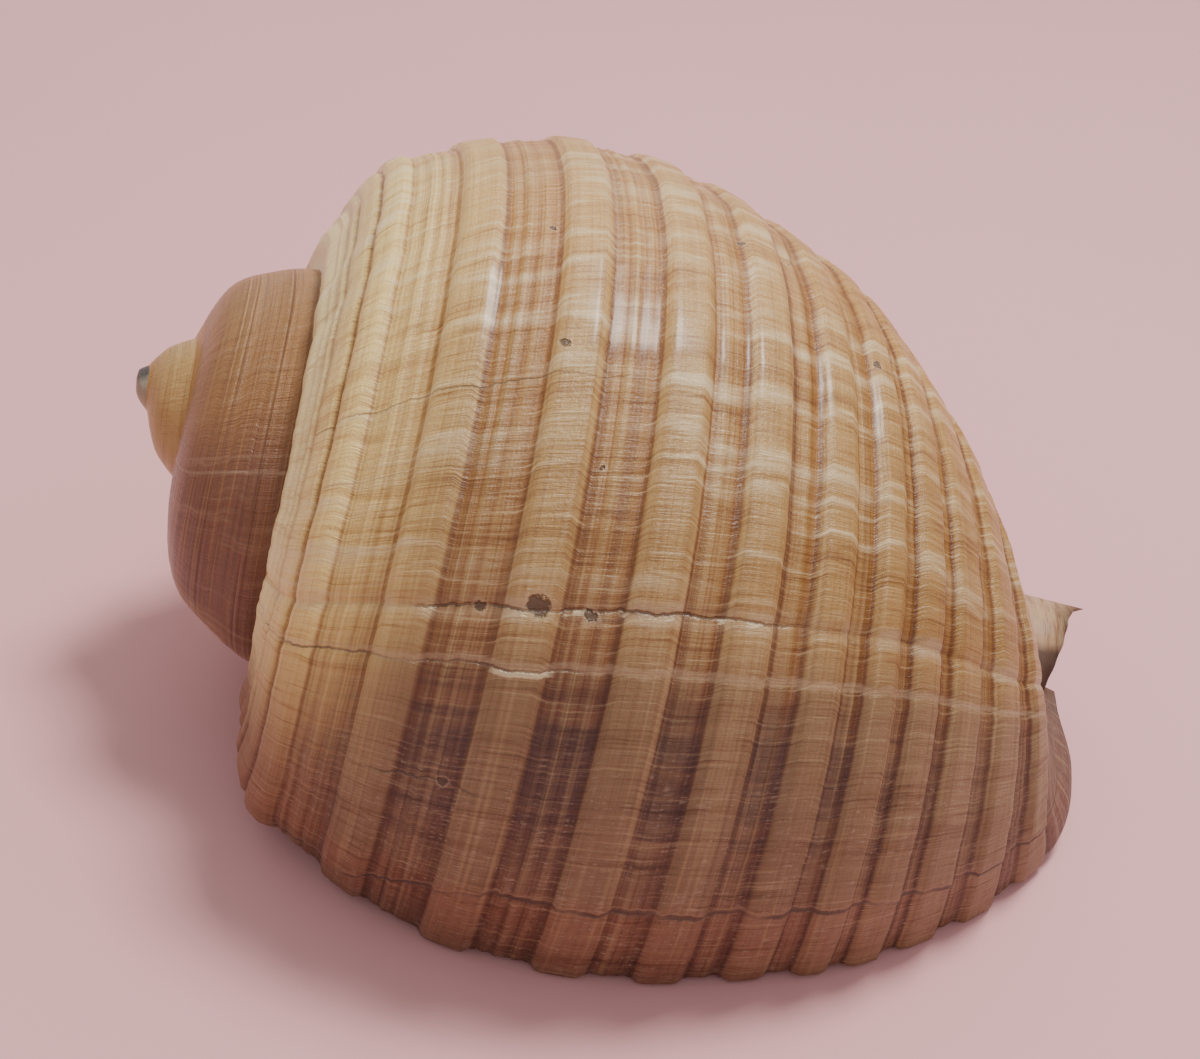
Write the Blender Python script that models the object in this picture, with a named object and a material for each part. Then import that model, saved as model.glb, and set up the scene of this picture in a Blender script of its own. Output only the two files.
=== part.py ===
"""Tun shell: one grown piece, lying on its aperture.

The shell is built as it grew. A lip outline is turned about the coil axis and
enlarged from the apex, one small step at a time, and each new strip starts on
the whorl before it, along the suture. Behind the lip the whorl is hollow.

While it grows, the coil axis runs along +X from the apex and the middle of the
finished outer lip faces +Y. It is then turned aperture down and set on z = 0,
centred over the origin. Metres, +Z up.
"""
import math

import bmesh
import bpy
import numpy as np
from mathutils import Matrix, Vector

MM = 0.001

# The lip of the grown shell, from the suture to the siphonal notch: share of
# the way, distance from the apex (mm), radius (mm), and lead (degrees), the
# angle by which that point of the lip runs ahead of its middle.
LIP_OUTLINE = (
    (0.00, 37.7, 43.4, 27.0),
    (0.06, 38.5, 51.9, 22.5),
    (0.15, 44.5, 63.4, 16.0),
    (0.27, 57.7, 72.1, 9.0),
    (0.40, 75.1, 79.0, 3.4),
    (0.55, 105.7, 80.2, -2.5),
    (0.70, 131.8, 73.4, -5.4),
    (0.84, 155.0, 61.1, -5.7),
    (0.93, 179.0, 33.8, -3.6),
    (1.00, 177.0, 4.5, -5.0),
)
WHORL_GROWTH = 1.85        # how much a whorl outgrows the one before, at the lip
GROWTH_CHANGE = 0.113      # the young whorls outgrew each other by more
FIRST_AGE = -3.5           # turns before the outline above at which the shell starts
LAST_AGE = 0.010           # and turns after it at which the lip ends
APEX_RISE = 4.2 * MM       # the first whorls lie closer together than the later ones
APEX_SHARE = 0.75          # size, as a share of the last, over which that fades
CONE_SHARE = 0.65          # how nearly straight-sided the first whorls are
CONE_SIZES = (0.37, 0.15)  # sizes between which they become so

TURN_STEPS = 45            # growth steps in one turn
SUTURE_STEPS = 42          # steps from a growth line to the one that it stands on
HOLLOW_STEPS = 36          # steps that the hollow reaches behind the lip
YOUNG_STEPS = 63           # steps of the early whorls, with fewer columns
SUTURE_MARK = 61.0         # mm across at which the next whorl's suture lies
BASE_SHARE = 0.985         # where the columella leaves it
WALL_FOOT = 5.0            # mm across that the new wall stands on
SETTLE_REACH = 22.0        # mm across over which a whorl bends to its suture
WALL = 3.3 * MM            # from the tops of the ribs to the inside
LIP_WALL = 2.8 * MM
LIP_AGE = 0.08             # turns over which the wall thins to the lip
BASE_WALL = 1.8 * MM       # the wall at the bend of the base

# Broad flat ribs of the last whorl: both edges, in mm along the outline.
RIBS = (
    (11.0, 16.0), (20.5, 27.0), (37.0, 45.5), (56.0, 65.0), (74.5, 83.5),
    (90.5, 99.0), (105.0, 112.5), (116.5, 123.0), (126.0, 133.5), (136.5, 145.5),
    (150.0, 159.0), (165.0, 174.0),
)
RIB_HEIGHT = 1.5 * MM
RIB_FLANK = 2.0            # mm along the outline from a rib's foot to its top
RIBS_FROM = -1.05          # age at which grooves start to part the ribs
RIBS_OVER = 0.45           # turns that they take to reach their depth
FORE_FLARE = 1.7 * MM      # how far the lip turns out towards the canal
BACK_FLARE = 1.4 * MM      # and beside the suture
FLARE_AGES = (-0.04, -0.08)
SWELL = 2.9 * MM           # how far the whorl before the last bulges out
SWELL_AGES = (-1.32, -0.72)
NARROWEST = 1.2            # mm between two columns of points, at the least

BASE_MARKS = (180.5, 186.0, 191.5, 198.0)   # columns round the bend of the base

# The inner and the outer face of the columella: mm, mm, degrees as above.
COLUMELLA = ((168.0, 11.0, 0.0), (140.0, 9.2, 7.0), (112.0, 7.2, 14.0))
UMBILICUS = ((150.0, 3.6, 3.0), (118.0, 2.9, 12.0))

# The pillar about the axis is the core of the columella. The siphonal canal is
# cut into its free end, and what is left there is the beak.
PILLAR_START = 30.0 * MM
PILLAR_END = 170.0 * MM
PILLAR_SLOPE = 0.065       # radius for each unit of distance from the apex
PILLAR_SIDES = 26
PILLAR_RINGS = 7
# Where the beak's edge lies: degrees about the axis, mm from the apex.
BEAK_EDGE = (
    (-180.0, 178.5), (-151.0, 180.0), (-128.0, 176.0), (-105.0, 174.0), (-59.0, 172.5),
    (0.0, 172.0), (60.0, 174.5), (100.0, 176.5), (150.0, 177.5), (180.0, 178.5),
)
BEAK_ROOT = 160.0 * MM     # how deep its end is hollowed
# The canal: mm from the apex, radius in mm. It breaks through on one side.
CANAL = (
    (132.0, 0.6), (150.0, 4.6), (165.0, 8.3), (173.0, 10.2), (180.0, 11.5), (196.0, 14.0),
)
CANAL_SIDE = 28.0          # degrees about the axis, the side that it opens to
CANAL_OPENING = 0.8 * MM   # how far it reaches out of the pillar there

# How it lies: on its outer lip and the belly of the body whorl.
REST_ROLL = -155.05        # degrees about the coil axis
REST_DIP = 13.08           # degrees that the far end of the coil axis points down

SHELL_COLOUR = (0.46, 0.27, 0.15, 1.0)
ROUGHNESS = 0.42


def clear_scene():
    for item in list(bpy.data.objects):
        bpy.data.objects.remove(item, do_unlink=True)


def spline_bends(places, values):
    """Second derivatives of the natural cubic through the points."""
    gap = np.diff(places)
    slope = np.diff(values) / gap
    system = np.eye(len(places))
    right = np.zeros(len(places))
    for k in range(1, len(places) - 1):
        system[k, k - 1:k + 2] = gap[k - 1], 2.0 * (gap[k - 1] + gap[k]), gap[k]
        right[k] = 6.0 * (slope[k] - slope[k - 1])
    return np.linalg.solve(system, right)


def spline(places, values, bends, at):
    """The cubic's value at each place asked for."""
    k = np.clip(np.searchsorted(places, at) - 1, 0, len(places) - 2)
    gap = places[k + 1] - places[k]
    left = (places[k + 1] - at) / gap
    right = (at - places[k]) / gap
    bend = (left ** 3 - left) * bends[k] + (right ** 3 - right) * bends[k + 1]
    return left * values[k] + right * values[k + 1] + bend * gap * gap / 6.0


class Outline:
    """The lip outline as a smooth curve, read by mm along it."""

    def __init__(self):
        table = np.array(LIP_OUTLINE)
        self.share = table[:, 0]
        self.values = (table[:, 1] * MM, table[:, 2] * MM, np.radians(table[:, 3]))
        self.bends = [spline_bends(self.share, column) for column in self.values]
        self.dense = np.linspace(0.0, 1.0, 801)
        along, radius, _ = self.at_share(self.dense)
        run = np.hypot(np.diff(along), np.diff(radius)) / MM
        self.run = np.concatenate([[0.0], np.cumsum(run)])
        self.length = float(self.run[-1])

    def at_share(self, share):
        return [spline(self.share, column, bend, share)
                for column, bend in zip(self.values, self.bends)]

    def at(self, across):
        return self.at_share(np.interp(across, self.run, self.dense))

    def millimetres(self, share):
        return float(np.interp(share, self.dense, self.run))


def size_at(age):
    """Size of the shell at an age in turns, as a share of its last size."""
    return math.exp(math.log(WHORL_GROWTH) * age - GROWTH_CHANGE * age * age)


def place(along, radius, lead, age):
    """Where points of the outline were at that age."""
    size = size_at(age)
    turn = 2.0 * math.pi * age + lead
    rise = APEX_RISE * math.exp(-size / APEX_SHARE) * (1.0 - min(size, 1.0))
    return np.stack([along * size + rise, radius * size * np.cos(turn),
                     radius * size * np.sin(turn)], axis=-1)


def outward(outline, across, age):
    """Unit normals of the smooth whorl."""
    beside = place(*outline.at(across + 0.5), age) - place(*outline.at(across - 0.5), age)
    ahead = place(*outline.at(across), age + 0.001) - place(*outline.at(across), age - 0.001)
    normal = np.cross(ahead, beside)
    return normal / np.linalg.norm(normal, axis=1)[:, None]


def ribs(across):
    """Height of the ribs above the grooves, from 0 to 1."""
    height = np.zeros_like(across)
    for low, high in RIBS:
        flanks = np.minimum(across - low, high - across) / RIB_FLANK
        height = np.maximum(height, np.clip(flanks, 0.0, 1.0))
    return height


def smooth(value):
    value = np.clip(value, 0.0, 1.0)
    return value * value * (3.0 - 2.0 * value)


def relief(outline, across, age):
    """Height over the smooth whorl: grooves, the lip's flare, and the bulge before it."""
    late = smooth(1.0 - age / np.array(FLARE_AGES))
    fore = smooth((across - 165.0) / 22.0) * smooth((206.0 - across) / 14.0) * late[0]
    back = smooth((32.0 - across) / 12.0) * late[1]
    height = RIB_HEIGHT * smooth((age - RIBS_FROM) / RIBS_OVER) * (ribs(across) - 1.0)
    first, last = SWELL_AGES
    swell = smooth((age - first) / 0.25) * smooth((last - age) / 0.25)
    swell = swell * smooth(across / 8.0) * smooth((64.0 - across) / 14.0)
    return size_at(age) * (height + FORE_FLARE * fore + BACK_FLARE * back + SWELL * swell)


def whorl(outline, across, age):
    """Points of the smooth whorl, which is straighter in the first whorls."""
    along, radius, lead = outline.at(across)
    wide, narrow = CONE_SIZES
    straight = CONE_SHARE * smooth((wide - size_at(age)) / (wide - narrow))
    if straight > 0.0 and across[-1] <= SUTURE_MARK:
        share = across / SUTURE_MARK
        ends = outline.at(np.array([0.0, SUTURE_MARK]))
        along = along + straight * (ends[0][0] + np.ptp(ends[0]) * share - along)
        radius = radius + straight * (ends[1][0] + np.ptp(ends[1]) * share - radius)
    return place(along, radius, lead, age)


def outer_skin(outline, marks, age, seam_point):
    """Outside points of one growth line, its suture end bent onto the whorl before."""
    across = np.array(marks)
    lift = relief(outline, across, age)
    points = whorl(outline, across, age)
    if seam_point is not None:
        reach = np.clip(1.0 - across / SETTLE_REACH, 0.0, 1.0) ** 2
        points = points + (np.array(seam_point) - points[0]) * reach[:, None]
        lift[0] = 0.0
    return points + outward(outline, across, age) * lift[:, None]


def inner_skin(outline, marks, age):
    """Inside points of one growth line: under the wall, then up the columella."""
    across = np.array(marks)
    thin = np.clip(1.0 + age / LIP_AGE, 0.0, 1.0)
    wall = WALL + (LIP_WALL - WALL) * thin
    wall = size_at(age) * (wall + (BASE_WALL - wall) * smooth((across - 168.0) / 12.0))
    points = place(*outline.at(across), age) - outward(outline, across, age) * wall[:, None]
    return np.concatenate([points, axis_points(COLUMELLA, age)])


def axis_points(table, age):
    """Points near the axis at that age."""
    along, radius, lead = np.array(table).T
    return place(along * MM, radius * MM, np.radians(lead), age)


def columns(low, high):
    """Feet and tops of the ribs, and the bend of the base, between two places."""
    wanted = list(BASE_MARKS)
    for left, right in RIBS:
        wanted += [left, left + RIB_FLANK, right - RIB_FLANK, right]
    marks = [low]
    for mark in sorted(wanted):
        if marks[-1] + NARROWEST < mark < high - NARROWEST:
            marks.append(mark)
    return marks + [high]


def chain_edges(bm, chain):
    return [bm.edges.get(pair) for pair in zip(chain, chain[1:])]


def start_chain(bm, first, points, last=None):
    """A chain of new vertices joined by edges, from one vertex to another."""
    chain = [first] + [bm.verts.new(point) for point in points]
    if last is not None:
        chain.append(last)
    for pair in zip(chain, chain[1:]):
        bm.edges.new(pair)
    return chain


def grow(bm, front, points, joined):
    """Extrude a chain to the next growth line, and join it where it meets the whorl."""
    grown = bmesh.ops.extrude_edge_only(bm, edges=chain_edges(bm, front))["geom"]
    fresh = {item for item in grown if isinstance(item, bmesh.types.BMVert)}
    row = []
    for vert in front:
        others = [edge.other_vert(vert) for edge in vert.link_edges]
        row.append(next(other for other in others if other in fresh))
    for vert, point in zip(row, points):
        vert.co = point
    bmesh.ops.weld_verts(bm, targetmap={row[k]: vert for k, vert in joined.items()})
    for k, vert in joined.items():
        row[k] = vert
    return row


def widen(bm, front, old_marks, new_marks, points):
    """Put new columns between the old ones, on the newest growth line."""
    row = [front[0]]
    for k in range(len(front) - 1):
        end = front[k + 1]
        count = sum(old_marks[k] < mark < old_marks[k + 1] for mark in new_marks)
        for _ in range(count):
            edge = bm.edges.get((row[-1], end))
            row.append(bmesh.utils.edge_split(edge, row[-1], 0.5)[1])
        row.append(end)
    for vert, point in list(zip(row, points))[1:]:
        vert.co = point
    return row


def remove_buried(bm, older, newer, k, m):
    """Delete the face of the whorl before that the new wall stands on."""
    corners = {older[k], older[m], newer[k], newer[m]}
    faces = [face for face in older[k].link_faces if set(face.verts) == corners]
    bmesh.ops.delete(bm, geom=faces, context="FACES")


def draw_together(bm, loop, point):
    """Close a ring of vertices with faces that meet in one point."""
    edges = chain_edges(bm, loop + loop[:1])
    grown = bmesh.ops.extrude_edge_only(bm, edges=edges)["geom"]
    verts = [item for item in grown if isinstance(item, bmesh.types.BMVert)]
    bmesh.ops.pointmerge(bm, verts=verts, merge_co=Vector(point))


def grow_shell():
    """The wall of all the whorls as one closed skin."""
    outline = Outline()
    bm = bmesh.new()
    lip = round((LAST_AGE - FIRST_AGE) * TURN_STEPS)
    hollow = lip - HOLLOW_STEPS
    covered = hollow - SUTURE_STEPS
    exposed = lip - SUTURE_STEPS
    base = outline.millimetres(BASE_SHARE)

    spire = columns(0.0, SUTURE_MARK)
    young = spire[:1] + spire[2:-2:3] + spire[-1:]
    lower = columns(SUTURE_MARK + WALL_FOOT, base)
    parietal = spire + lower[:1] + lower[4:-3:5] + lower[-3:] + [outline.length]
    body = spire + lower + [outline.length]
    lumen = body[1:-3:5] + body[-3:-1]

    marks = young
    age = LAST_AGE - lip / TURN_STEPS
    pole = bm.verts.new(place(*outline.at(np.zeros(1)), age)[0] * (1.0, 0.0, 0.0))
    points = outer_skin(outline, marks, age, None)
    rows = [start_chain(bm, pole, points[1:])]
    seams = [len(marks) - 1]
    umbilical = inner = None

    for step in range(1, lip + 1):
        age = LAST_AGE + (step - lip) / TURN_STEPS
        older = rows[step - SUTURE_STEPS] if step >= SUTURE_STEPS else None
        seam = seams[step - SUTURE_STEPS] if older else 0
        seam_vert = older[seam] if older else pole
        seam_point = seam_vert.co.copy() if older else None
        points = outer_skin(outline, marks, age, seam_point)
        front = rows[-1]
        joined = {0: seam_vert}
        if umbilical:
            points = np.concatenate([points, axis_points(UMBILICUS, age), points[:1]])
            front = front + umbilical[1:]
            joined[len(points) - 1] = older[-1]
        row = grow(bm, front, points, joined)
        if umbilical:
            umbilical = row[len(marks) - 1:]
            row = row[:len(marks)]
            within = inner_skin(outline, lumen, age)
            within = np.concatenate([within[:1], within, within[:1]])
            inner = grow(bm, inner, within, {0: older[seam + 1], len(within) - 1: older[-2]})
            before = rows[step - 1 - SUTURE_STEPS]
            remove_buried(bm, before, older, seam, seam + 1)
            remove_buried(bm, before, older, -2, -1)
        if step == YOUNG_STEPS:
            row = widen(bm, row, marks, spire, outer_skin(outline, spire, age, seam_point))
            marks = spire
        if step == covered:
            points = outer_skin(outline, parietal, age, seam_point)[len(spire):]
            row = row + start_chain(bm, row[-1], points)[1:]
            marks = parietal
        if step == exposed:
            row = widen(bm, row, marks, body, outer_skin(outline, body, age, seam_point))
            marks = body
        if step == hollow:
            umbilical = start_chain(bm, row[-1], axis_points(UMBILICUS, age), older[-1])
            inner = start_chain(bm, older[seam + 1], inner_skin(outline, lumen, age), older[-2])
            hollow_end = inner + older[seam + 2:-2][::-1]
            umbilicus_end = umbilical + [rows[k][-1] for k in range(covered + 1, hollow)]
        rows.append(row)
        seams.append(seams[-1] if step != YOUNG_STEPS else len(spire) - 1)

    edge_marks = [0.0] + lumen + [outline.length + k for k in range(4)]
    every_mark = body + [outline.length + k for k in range(1, 4)]
    within = inner_skin(outline, body[1:-1], LAST_AGE)
    inner = widen(bm, inner, edge_marks, every_mark, np.concatenate([within[:1], within]))
    outer = rows[-1] + umbilical[1:]
    for k in range(len(outer) - 1):
        bmesh.ops.contextual_create(bm, geom=[outer[k], outer[k + 1], inner[k + 1], inner[k]])
    bmesh.ops.contextual_create(bm, geom=chain_edges(bm, rows[0] + rows[0][:1]))
    bmesh.ops.triangle_fill(bm, edges=chain_edges(bm, hollow_end + hollow_end[:1]))
    along_axis = umbilicus_end[len(umbilical) // 2].co.x
    draw_together(bm, umbilicus_end, (along_axis, 0.0, 0.0))
    bmesh.ops.recalc_face_normals(bm, faces=bm.faces)
    return bm


def make_object(name, bm):
    mesh = bpy.data.meshes.new(name)
    bm.to_mesh(mesh)
    bm.free()
    item = bpy.data.objects.new(name, mesh)
    bpy.context.scene.collection.objects.link(item)
    return item


def turned(stations):
    """A round body about +X through the given distances and radii."""
    bm = bmesh.new()
    chain = [bm.verts.new((along, 0.0, radius)) for along, radius in stations]
    for pair in zip(chain, chain[1:]):
        bm.edges.new(pair)
    bmesh.ops.spin(bm, geom=bm.verts[:] + bm.edges[:], cent=(0, 0, 0), axis=(1, 0, 0),
                   angle=2.0 * math.pi, steps=PILLAR_SIDES, use_merge=True)
    bmesh.ops.remove_doubles(bm, verts=bm.verts, dist=0.001 * MM)
    return bm


def combine(target, cutter, operation):
    modifier = target.modifiers.new(operation.lower(), "BOOLEAN")
    modifier.operation = operation
    modifier.solver = "EXACT"
    modifier.object = cutter
    bpy.context.view_layer.objects.active = target
    bpy.ops.object.modifier_apply(modifier=modifier.name)
    bpy.data.objects.remove(cutter, do_unlink=True)


def make_pillar():
    """The columella's core, with the canal cut into its free end."""
    along = list(np.linspace(PILLAR_START, PILLAR_END, PILLAR_RINGS)) + [BEAK_EDGE[1][1] * MM]
    stations = [(x, x * PILLAR_SLOPE) for x in along]
    bm = turned([(along[0], 0.0)] + stations + [(BEAK_ROOT, 0.0)])
    turns, edge = np.array(BEAK_EDGE).T
    for vert in bm.verts:
        if vert.co.x > PILLAR_END + MM:
            turn = math.degrees(math.atan2(vert.co.z, vert.co.y))
            vert.co.x = MM * np.interp(turn, turns, edge)
    bmesh.ops.recalc_face_normals(bm, faces=bm.faces)
    pillar = make_object("pillar", bm)

    places, radii = np.array(CANAL).T * MM
    bm = turned([(places[0], 0.0)] + list(zip(places, radii)) + [(places[-1], 0.0)])
    side = Vector((0.0, math.cos(math.radians(CANAL_SIDE)), math.sin(math.radians(CANAL_SIDE))))
    for vert in bm.verts:
        radius = np.interp(vert.co.x, places, radii)
        vert.co += side * (vert.co.x * PILLAR_SLOPE - radius + CANAL_OPENING)
    bmesh.ops.recalc_face_normals(bm, faces=bm.faces)
    combine(pillar, make_object("canal", bm), "DIFFERENCE")
    return pillar


def lay_down(item):
    """Turn the shell as it lies, and set it on the ground over the origin."""
    roll = Matrix.Rotation(math.radians(REST_ROLL), 4, "X")
    dip = Matrix.Rotation(math.radians(REST_DIP), 4, "Y")
    item.data.transform(dip @ roll)
    spots = np.array([vert.co for vert in item.data.vertices])
    low, high = spots.min(axis=0), spots.max(axis=0)
    middle = (low + high) / 2.0
    item.data.transform(Matrix.Translation((-middle[0], -middle[1], -low[2])))


def colour(item):
    material = bpy.data.materials.new("shell")
    material.use_nodes = True
    surface = material.node_tree.nodes["Principled BSDF"]
    surface.inputs["Base Color"].default_value = SHELL_COLOUR
    surface.inputs["Roughness"].default_value = ROUGHNESS
    item.data.materials.append(material)


def main():
    clear_scene()
    shell = make_object("shell", grow_shell())
    combine(shell, make_pillar(), "UNION")
    lay_down(shell)
    colour(shell)
    shell.data.shade_smooth()
    shell.data.set_sharp_from_angle(angle=math.radians(40.0))


main()
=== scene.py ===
import math

import bmesh
import bpy
import numpy as np
from mathutils import Matrix, Vector


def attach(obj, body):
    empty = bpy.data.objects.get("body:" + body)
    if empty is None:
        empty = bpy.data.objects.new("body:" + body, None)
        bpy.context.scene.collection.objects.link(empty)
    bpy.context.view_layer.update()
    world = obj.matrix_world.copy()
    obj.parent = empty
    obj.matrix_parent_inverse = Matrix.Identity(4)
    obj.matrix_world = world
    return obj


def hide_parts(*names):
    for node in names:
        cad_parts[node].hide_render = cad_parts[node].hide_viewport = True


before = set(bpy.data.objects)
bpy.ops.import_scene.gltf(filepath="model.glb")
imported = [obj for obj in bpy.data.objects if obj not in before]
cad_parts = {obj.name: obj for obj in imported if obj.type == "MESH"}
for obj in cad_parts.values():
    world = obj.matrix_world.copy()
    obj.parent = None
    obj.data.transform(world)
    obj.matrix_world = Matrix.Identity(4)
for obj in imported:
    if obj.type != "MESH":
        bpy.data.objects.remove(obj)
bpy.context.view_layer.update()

# The shell's wall.
# A real tun shell is one thin wall of lime, laid down at the lip by the animal
# as it grew round the coil axis. The lip outline below is turned about that
# axis and enlarged, one growth line after another.
# The outline: share of the way from the suture to the siphonal notch, distance
# from the apex (mm), radius (mm), lead over the middle of the lip (degrees).
outline_table = np.array((
    (0.00, 37.7, 43.4, 27.0),
    (0.06, 38.5, 51.9, 22.5),
    (0.15, 44.5, 63.4, 16.0),
    (0.27, 57.7, 72.1, 9.0),
    (0.40, 75.1, 79.0, 3.4),
    (0.55, 105.7, 80.2, -2.5),
    (0.70, 131.8, 73.4, -5.4),
    (0.84, 155.0, 61.1, -5.7),
    (0.93, 179.0, 33.8, -3.6),
    (1.00, 177.0, 4.5, -5.0),
))
PERIOD = 42.0 / 45.0       # turns from a growth line to the one that it stands on
FIRST_AGE = -3.45          # turns before the outline above at which the apex begins
HOLLOW_AGE = -0.80         # turns before it at which the open hollow begins
LAST_AGE = 0.010           # turns after it at which the lip ends
ROWS = 240.0               # growth lines in a turn
WORN_BACK = 0.0012         # turns over which the lip's outer corner is worn down
SUTURE_MARK = 61.0         # mm across the older whorl where the suture runs
WALL_FOOT = 1.6            # mm across that a new wall stands on
BREAKS = (-11.2, -42.8, -49.8)   # degrees before the lip where growth paused
WALL = 3.1                 # mm between the smooth whorl and the inside, for the last size
LIP_WALL = 2.6             # mm at the lip
BASE_WALL = 1.8            # mm beside the columella
RIB_DEPTH = 0.6            # mm from the ribs down to the grooves at the suture, 1 mm more past it
RIB_SPREAD = 0.7           # mm that a rib's flank reaches past its edge
RIBLET_WIDTH = 0.8         # mm from a riblet's crest to its flank


def natural_bends(places, values):
    gap = np.diff(places)
    slope = np.diff(values) / gap
    system = np.eye(len(places))
    right = np.zeros(len(places))
    for k in range(1, len(places) - 1):
        system[k, k - 1:k + 2] = gap[k - 1], 2.0 * (gap[k - 1] + gap[k]), gap[k]
        right[k] = 6.0 * (slope[k] - slope[k - 1])
    return np.linalg.solve(system, right)


def natural_spline(places, values, bends, at):
    k = np.clip(np.searchsorted(places, at) - 1, 0, len(places) - 2)
    gap = places[k + 1] - places[k]
    left = (places[k + 1] - at) / gap
    right = (at - places[k]) / gap
    bend = (left ** 3 - left) * bends[k] + (right ** 3 - right) * bends[k + 1]
    return left * values[k] + right * values[k + 1] + bend * gap * gap / 6.0


shares = outline_table[:, 0]
curves = (outline_table[:, 1], outline_table[:, 2], np.radians(outline_table[:, 3]))
curve_bends = [natural_bends(shares, values) for values in curves]
dense = np.linspace(0.0, 1.0, 801)
dense_along, dense_radius = [
    natural_spline(shares, values, bends, dense) for values, bends in zip(curves[:2], curve_bends)]
run = np.concatenate([[0.0], np.cumsum(np.hypot(np.diff(dense_along), np.diff(dense_radius)))])
LENGTH = float(run[-1])


def outline_at(across):
    share = np.interp(across, run, dense)
    return [natural_spline(shares, values, bends, share)
            for values, bends in zip(curves, curve_bends)]


def smooth(value):
    value = np.clip(value, 0.0, 1.0)
    return value * value * (3.0 - 2.0 * value)


def size_at(age):
    return math.exp(math.log(1.85) * age - 0.113 * age * age)


def place(along, radius, lead, age):
    """Where points of the outline were at that age, in metres."""
    size = size_at(age)
    turn = 2.0 * math.pi * age + lead
    rise = 4.2 * math.exp(-size / 0.75) * (1.0 - min(size, 1.0))
    return 0.001 * np.stack([along * size + rise, radius * size * np.cos(turn),
                             radius * size * np.sin(turn)], axis=-1)


def whorl(across, age):
    """Points of the smooth whorl, which is straighter in the first whorls."""
    along, radius, lead = outline_at(across)
    straight = 0.65 * smooth((0.37 - size_at(age)) / 0.22)
    if straight > 0.0 and across[-1] <= SUTURE_MARK:
        share = across / SUTURE_MARK
        ends = outline_at(np.array([0.0, SUTURE_MARK]))
        along = along + straight * (ends[0][0] + np.ptp(ends[0]) * share - along)
        radius = radius + straight * (ends[1][0] + np.ptp(ends[1]) * share - radius)
    return place(along, radius, lead, age)


def outward(across, age):
    beside = place(*outline_at(across + 0.5), age) - place(*outline_at(across - 0.5), age)
    ahead = place(*outline_at(across), age + 0.001) - place(*outline_at(across), age - 0.001)
    normal = np.cross(ahead, beside)
    return normal / np.linalg.norm(normal, axis=1)[:, None]


# Broad flat ribs and the fine riblets between them, in mm across.
ribs = ((11.6, 13.4), (14.4, 16.2), (17.2, 19.2), (20.5, 27.0), (37.0, 45.5), (56.0, 65.0),
        (74.5, 83.5), (90.5, 99.0), (105.0, 112.5), (116.5, 123.0), (126.0, 133.5),
        (136.5, 145.5), (150.0, 159.0), (165.0, 174.0))
riblets = ((3.6, 0.6), (6.0, 0.8), (8.6, 0.8), (28.8, 0.5), (31.3, 1.0), (33.9, 0.6),
           (47.3, 0.6), (49.8, 1.0), (52.4, 0.6), (54.2, 0.4), (66.8, 0.6), (69.3, 1.0),
           (71.9, 0.6), (84.8, 0.6), (86.5, 1.0), (88.4, 0.5), (100.6, 0.8), (102.4, 0.8),
           (113.5, 0.8), (115.0, 0.6), (124.2, 0.8), (134.9, 0.7), (147.0, 0.7),
           (148.6, 0.6), (161.0, 0.8), (163.0, 0.6), (177.0, 0.8), (180.5, 0.8), (184.0, 0.6))
seeded = np.random.default_rng(11)
WAVES = 4000               # random heights that a wave runs through
wave_table = seeded.normal(size=WAVES)
rib_waver = seeded.normal(size=(len(ribs), WAVES))


def wave(at, step, start):
    return np.interp(at / step + start, np.arange(WAVES), wave_table)


def crowns(across, degrees):
    """Height of the ribs above the grooves, from 0 to 1."""
    height = np.zeros_like(across)
    for k, (left, right) in enumerate(ribs):
        waver = 0.22 * np.interp(degrees / 4.5 + 900.0, np.arange(WAVES), rib_waver[k])
        flank = 0.32 * min(right - left, 7.0)
        edge = np.minimum(across - left + RIB_SPREAD - 0.3 * waver, right + RIB_SPREAD - across)
        full = 0.55 if right - left < 3.0 else 1.0
        height = np.maximum(height, smooth(edge / flank) * (1.0 + 0.12 * waver) * full)
    return height


def threads(across):
    """Height of the riblets, from 0 to 1."""
    return sum(strength * np.exp(-((across - mark) / RIBLET_WIDTH) ** 2)
               for mark, strength in riblets)


def last_break(across):
    """Degrees at which the last growth pause lies: it runs out at the lip, beside the suture."""
    return BREAKS[0] + 12.5 * smooth((66.0 - across) / 44.0) + 0.7 * wave(across, 3.6, 300.0)


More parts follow.
